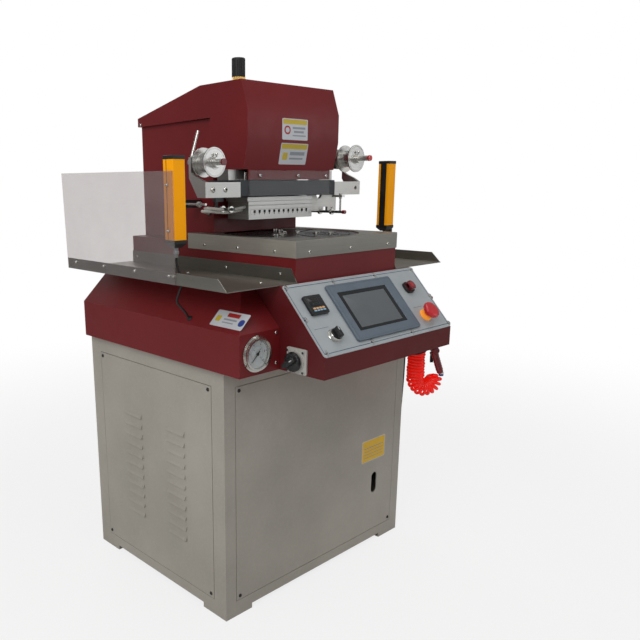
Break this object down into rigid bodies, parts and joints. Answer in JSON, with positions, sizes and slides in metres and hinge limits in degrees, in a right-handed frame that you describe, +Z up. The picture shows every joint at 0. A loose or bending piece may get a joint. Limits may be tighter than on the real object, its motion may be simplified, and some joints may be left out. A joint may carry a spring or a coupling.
{
  "type": "hot foil stamping machine",
  "caption": "Free-standing hot foil stamping press with console, rotary work table, heated head, foil reels, light curtain and side guards.",
  "frame": {"origin": "on the floor under the middle of the overall box", "axes": "+Z up, the operator stands on the -Y side, +X to the operator's right"},
  "size_m": [0.8062, 0.7794, 1.3302],
  "materials": {
    "maroon_paint": "semi-gloss stove enamel, fine orange peel",
    "grey_paint": "warm light grey textured powder coat",
    "silver_panel": "matt silver overlay with a printed border line",
    "stainless_steel": "brushed",
    "bright_aluminium": "milled and brushed",
    "polished_steel": "polished",
    "dark_steel": "ground, oiled",
    "dark_grey_steel": "blackened",
    "galvanised_steel": "zinc plated",
    "chrome_trim": "polished",
    "brass_metal": "turned",
    "black_plastic": "moulded",
    "black_rubber": "moulded, ribbed",
    "black_screw": "blackened",
    "cable_rubber": "extruded",
    "blue_grey_plastic": "moulded",
    "light_grey_plastic": "moulded",
    "screen_glass": "matt glass over a switched-off display",
    "red_plastic": "moulded",
    "dark_red_plastic": "moulded",
    "amber_plastic": "translucent",
    "orange_hose": "polyurethane",
    "yellow_paint": "powder coat",
    "clear_acrylic": "clear acrylic"
  },
  "bodies": {
    "machine": {"air_gun": "dark_red_plastic", "air_hose": "orange_hose", "button_bezels": "chrome_trim", "cabinet_frame": "grey_paint", "cables": "cable_rubber", "column_cover": "maroon_paint", "console_housing": "maroon_paint", "console_panel": "silver_panel", "curtain_trims": "black_plastic", "deck_housing": "maroon_paint", "dome_screws": "polished_steel", "electrical_plate": "galvanised_steel", "end_caps": "dark_red_plastic", "estop_collar": "amber_plastic", "filler_neck": "brass_metal", "foil_rods": "dark_steel", "front_panel": "grey_paint", "front_shield": "clear_acrylic", "gauge_case": "chrome_trim", "guide_collars": "polished_steel", "head_block": "dark_grey_steel", "head_spacers": "bright_aluminium", "hmi_bezel": "blue_grey_plastic", "hmi_screen": "screen_glass", "hood_cover": "maroon_paint", "isolator_plate": "light_grey_plastic", "left_reel_bracket": "bright_aluminium", "left_side_panel": "grey_paint", "left_tray": "stainless_steel", "light_curtain_bars": "yellow_paint", "panel_screws": "black_screw", "pedestal": "maroon_paint", "power_unit": "dark_grey_steel", "press_cylinder": "dark_steel", "press_frame": "dark_grey_steel", "rear_panel": "grey_paint", "rewind_motor": "dark_grey_steel", "right_reel_bracket": "bright_aluminium", "right_side_panel": "grey_paint", "right_tray": "stainless_steel", "side_guard": "clear_acrylic", "table_top": "stainless_steel", "temperature_controller": "black_plastic"},
    "press_head": {"press_ram": "polished_steel", "insulation_plate": "bright_aluminium", "heater_plate": "bright_aluminium"},
    "die_carriage": {"die_plate": "bright_aluminium"},
    "turntable": {"rotary_table": "dark_steel", "table_bolts": "polished_steel", "table_spindle": "dark_steel"},
    "unwind_reel": {"unwind_reel": "bright_aluminium"},
    "rewind_reel": {"rewind_reel": "bright_aluminium"},
    "brake_lever": {"brake_lever": "polished_steel"},
    "isolator_knob": {"isolator_knob": "black_plastic"},
    "selector_knob": {"selector_knob": "black_plastic"},
    "start_button": {"start_button": "dark_red_plastic"},
    "estop_button": {"estop_button": "red_plastic"},
    "gauge_needle": {"gauge_needle": "black_plastic"},
    "filler_cap": {"filler_cap": "black_rubber"},
    "air_gun_trigger": {"air_gun_trigger": "dark_red_plastic"}
  },
  "joints": [
    {"name": "press_stroke", "type": "slide", "parent": "machine", "child": "press_head", "axis": [0, 0, -1], "range_m": [0, 0.03]},
    {"name": "die_plate_slide", "type": "slide", "parent": "press_head", "child": "die_carriage", "axis": [0, -1, 0], "range_m": [0, 0.07]},
    {"name": "table_turn", "type": "hinge", "parent": "machine", "child": "turntable", "pos_m": [0, -0.05432, 0.898], "axis": [0, 0, 1], "continuous": true},
    {"name": "rewind_spin", "type": "hinge", "parent": "machine", "child": "rewind_reel", "pos_m": [0.257, -0.03531, 1.098], "axis": [0, 1, 0], "continuous": true},
    {"name": "unwind_spin", "type": "hinge", "parent": "machine", "child": "unwind_reel", "pos_m": [-0.257, -0.03531, 1.081], "axis": [0, 1, 0], "continuous": true},
    {"name": "brake_lever_swing", "type": "hinge", "parent": "machine", "child": "brake_lever", "pos_m": [-0.257, 0.01859, 1.081], "axis": [0, 1, 0], "range_deg": [-30, 30]},
    {"name": "isolator_turn", "type": "hinge", "parent": "machine", "child": "isolator_knob", "pos_m": [-0.256, -0.30882, 0.66025], "axis": [-1, 0, 0], "range_deg": [0, 90]},
    {"name": "selector_turn", "type": "hinge", "parent": "machine", "child": "selector_knob", "pos_m": [-0.18, -0.35483, 0.7122], "axis": [0, -0.7342, 0.6789], "range_deg": [-45, 45]},
    {"name": "start_press", "type": "slide", "parent": "machine", "child": "start_button", "axis": [0, 0.7342, -0.6789], "range_m": [0, 0.003], "stiffness_N_per_m": 400},
    {"name": "estop_press", "type": "slide", "parent": "machine", "child": "estop_button", "axis": [0, 0.7342, -0.6789], "range_m": [0, 0.005], "stiffness_N_per_m": 800},
    {"name": "gauge_sweep", "type": "hinge", "parent": "machine", "child": "gauge_needle", "pos_m": [-0.3173, -0.25832, 0.6781], "axis": [0, 1, 0], "range_deg": [0, 270]},
    {"name": "filler_cap_turn", "type": "hinge", "parent": "machine", "child": "filler_cap", "pos_m": [-0.094, 0.03968, 1.3], "axis": [0, 0, 1], "range_deg": [0, 270]},
    {"name": "air_trigger_squeeze", "type": "hinge", "parent": "machine", "child": "air_gun_trigger", "pos_m": [0.26033, -0.32631, 0.59552], "axis": [-0.7422, 0.6702, 0], "range_deg": [0, 12]}
  ],
  "couplings": [
    {"joint": "unwind_spin", "follows": "rewind_spin", "ratio": 1}
  ]
}
